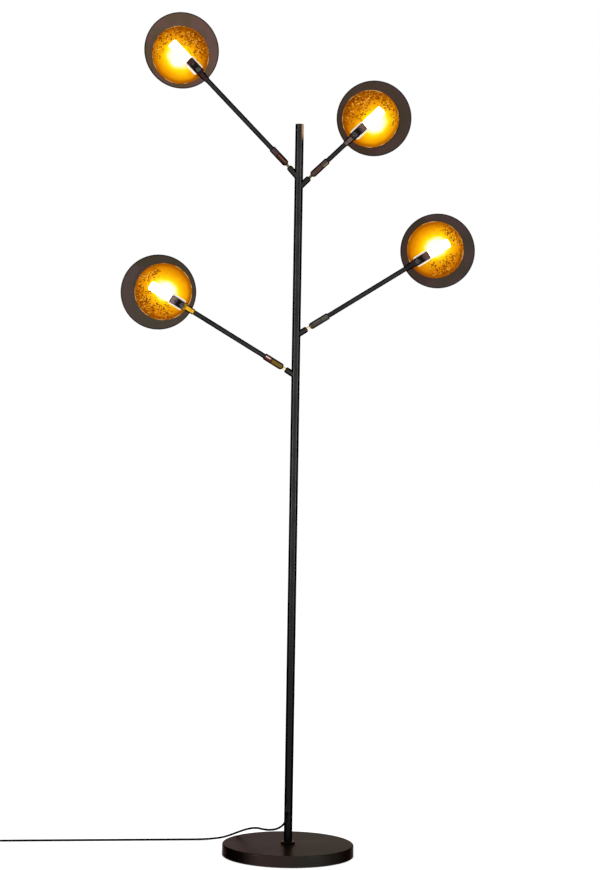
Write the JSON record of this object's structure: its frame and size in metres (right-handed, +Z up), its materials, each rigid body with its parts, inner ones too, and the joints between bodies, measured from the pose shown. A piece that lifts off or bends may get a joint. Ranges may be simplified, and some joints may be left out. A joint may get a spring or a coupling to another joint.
{
  "type": "tree floor lamp",
  "caption": "Floor lamp with a slim black pole on a round weighted base and adjustable arms, each carrying a bulb in front of a gilt dish and a larger smoked glass dish.",
  "frame": {"origin": "centre of the base's underside, on the floor", "axes": "+Z up along the pole; -Y towards the viewer of the picture; two arms leave towards -X and two towards +X; the mains lead runs out towards -X"},
  "size_m": [1.0987, 0.2872, 1.7872],
  "materials": {
    "satin_black": "satin powder coat",
    "base_enamel": "satin enamel",
    "felt": "felt",
    "weight_iron": "as cast",
    "zinc_steel": "zinc plated",
    "blued_steel": "dark satin",
    "joint_bronze": "dark polished bronze",
    "stud_brass": "polished",
    "bracket_copper": "satin brown",
    "ceramic": "glazed ceramic",
    "bulb_cover": "frosted",
    "gilt_leaf": "crackled leaf",
    "smoked_glass": "polished",
    "black_cord": "satin",
    "black_plastic": "fine grain",
    "plug_metal": "plated"
  },
  "bodies": {
    "stand": {"base_pad": "felt", "base_weight": "weight_iron", "base_cover": "base_enamel", "base_bolt": "zinc_steel", "foot_collar": "satin_black", "pole_section_1": "satin_black", "pole_section_2": "satin_black", "pole_section_3": "satin_black", "pole_couplers": "zinc_steel", "pole_cap": "satin_black", "arm_stubs": "satin_black", "ball_studs": "stud_brass", "cord_bushing": "black_plastic", "lead_in_pole": "black_cord", "cord": "black_cord", "cord_coil": "black_cord", "plug_body": "black_plastic", "plug_pins": "plug_metal", "switch_housing": "black_plastic"},
    "switch_button": {"switch_button": "black_plastic"},
    "arm_a_knuckle": {"arm_a_barrel": "joint_bronze", "arm_a_pivot_pins": "blued_steel"},
    "arm_a": {"arm_a_collar": "joint_bronze", "arm_a_rod": "satin_black", "arm_a_bracket": "bracket_copper", "arm_a_holder": "ceramic", "arm_a_bulb": "bulb_cover", "arm_a_fixings": "blued_steel", "arm_a_gilt_dish": "gilt_leaf", "arm_a_smoked_dish": "smoked_glass"},
    "arm_b_knuckle": {"arm_b_barrel": "joint_bronze", "arm_b_pivot_pins": "blued_steel"},
    "arm_b": {"arm_b_collar": "joint_bronze", "arm_b_rod": "satin_black", "arm_b_bracket": "bracket_copper", "arm_b_holder": "ceramic", "arm_b_bulb": "bulb_cover", "arm_b_fixings": "blued_steel", "arm_b_gilt_dish": "gilt_leaf", "arm_b_smoked_dish": "smoked_glass"},
    "arm_c_knuckle": {"arm_c_barrel": "joint_bronze", "arm_c_pivot_pins": "blued_steel"},
    "arm_c": {"arm_c_collar": "joint_bronze", "arm_c_rod": "satin_black", "arm_c_bracket": "bracket_copper", "arm_c_holder": "ceramic", "arm_c_bulb": "bulb_cover", "arm_c_fixings": "blued_steel", "arm_c_gilt_dish": "gilt_leaf", "arm_c_smoked_dish": "smoked_glass"},
    "arm_d_knuckle": {"arm_d_barrel": "joint_bronze", "arm_d_pivot_pins": "blued_steel"},
    "arm_d": {"arm_d_collar": "joint_bronze", "arm_d_rod": "satin_black", "arm_d_bracket": "bracket_copper", "arm_d_holder": "ceramic", "arm_d_bulb": "bulb_cover", "arm_d_fixings": "blued_steel", "arm_d_gilt_dish": "gilt_leaf", "arm_d_smoked_dish": "smoked_glass"}
  },
  "joints": [
    {"name": "switch_press", "type": "slide", "parent": "stand", "child": "switch_button", "axis": [0, 0, 1], "range_m": [-0.002, 0], "stiffness_N_per_m": 1500, "springref_m": 0.001},
    {"name": "arm_a_tilt", "type": "hinge", "parent": "stand", "child": "arm_a_knuckle", "pos_m": [-0.02887, -0.0091, 1.47256], "axis": [-0.3007, 0.9537, 0], "range_deg": [-45, 20]},
    {"name": "arm_a_swivel", "type": "hinge", "parent": "arm_a_knuckle", "child": "arm_a", "pos_m": [-0.02887, -0.0091, 1.47256], "axis": [-0.6941, -0.2188, 0.6858], "range_deg": [-170, 170]},
    {"name": "arm_b_tilt", "type": "hinge", "parent": "stand", "child": "arm_b_knuckle", "pos_m": [0.02991, -0.00625, 1.45], "axis": [-0.2045, -0.9789, 0], "range_deg": [-45, 20]},
    {"name": "arm_b_swivel", "type": "hinge", "parent": "arm_b_knuckle", "child": "arm_b", "pos_m": [0.02991, -0.00625, 1.45], "axis": [0.7205, -0.1505, 0.6769], "range_deg": [-170, 170]},
    {"name": "arm_c_tilt", "type": "hinge", "parent": "stand", "child": "arm_c_knuckle", "pos_m": [0.03178, -0.001, 1.12723], "axis": [-0.0314, -0.9995, 0], "range_deg": [-45, 20]},
    {"name": "arm_c_swivel", "type": "hinge", "parent": "arm_c_knuckle", "child": "arm_c", "pos_m": [0.03178, -0.001, 1.12723], "axis": [0.8458, -0.0266, 0.5329], "range_deg": [-170, 170]},
    {"name": "arm_d_tilt", "type": "hinge", "parent": "stand", "child": "arm_d_knuckle", "pos_m": [-0.03101, -0.00779, 1.03984], "axis": [-0.2436, 0.9699, 0], "range_deg": [-45, 20]},
    {"name": "arm_d_swivel", "type": "hinge", "parent": "arm_d_knuckle", "child": "arm_d", "pos_m": [-0.03101, -0.00779, 1.03984], "axis": [-0.8408, -0.2112, 0.4985], "range_deg": [-170, 170]}
  ]
}
